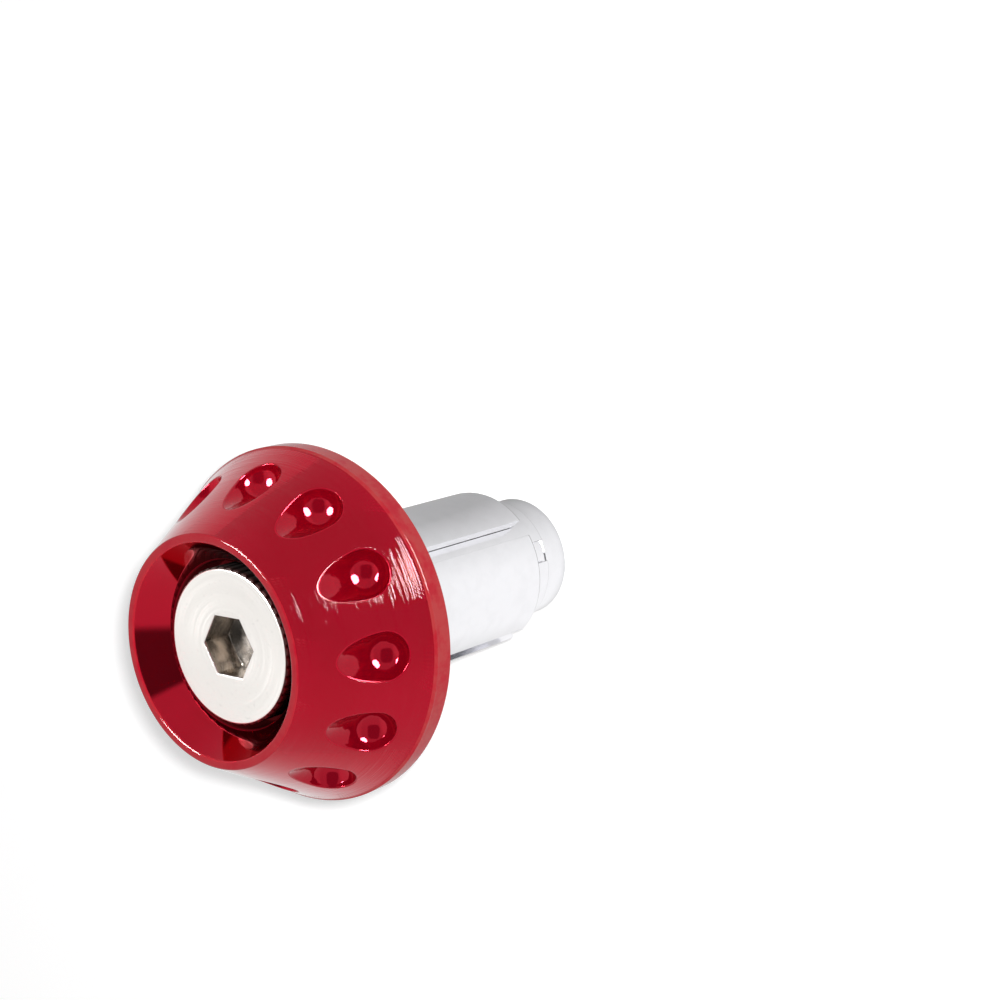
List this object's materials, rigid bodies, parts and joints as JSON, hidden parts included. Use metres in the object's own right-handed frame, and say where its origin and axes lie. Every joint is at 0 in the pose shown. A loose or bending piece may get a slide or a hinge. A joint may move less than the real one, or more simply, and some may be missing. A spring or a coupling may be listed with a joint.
{
  "type": "bar end weight",
  "caption": "Tapered, dimpled bar end weight with a recessed socket screw, nylon washer and a split expander drawn open by a wedge nut.",
  "frame": {"origin": "on the axis, at the end face of the wedge nut, which is the lowest point", "axes": "+Z along the axis, from the wedge nut to the front lip of the head; +X through the middle of one dimple"},
  "size_m": [0.0378, 0.0378, 0.051],
  "materials": {
    "red_anodised": "gloss red anodising over a turned surface",
    "nylon": "natural white nylon",
    "nickel_steel": "bright nickel plate",
    "polished_aluminium": "bright turned aluminium"
  },
  "bodies": {
    "root": {"weight_head": "red_anodised", "nylon_washer": "nylon", "socket_screw": "nickel_steel", "outer_expander": "polished_aluminium", "inner_expander": "polished_aluminium", "wedge_nut": "polished_aluminium"}
  },
  "joints": []
}
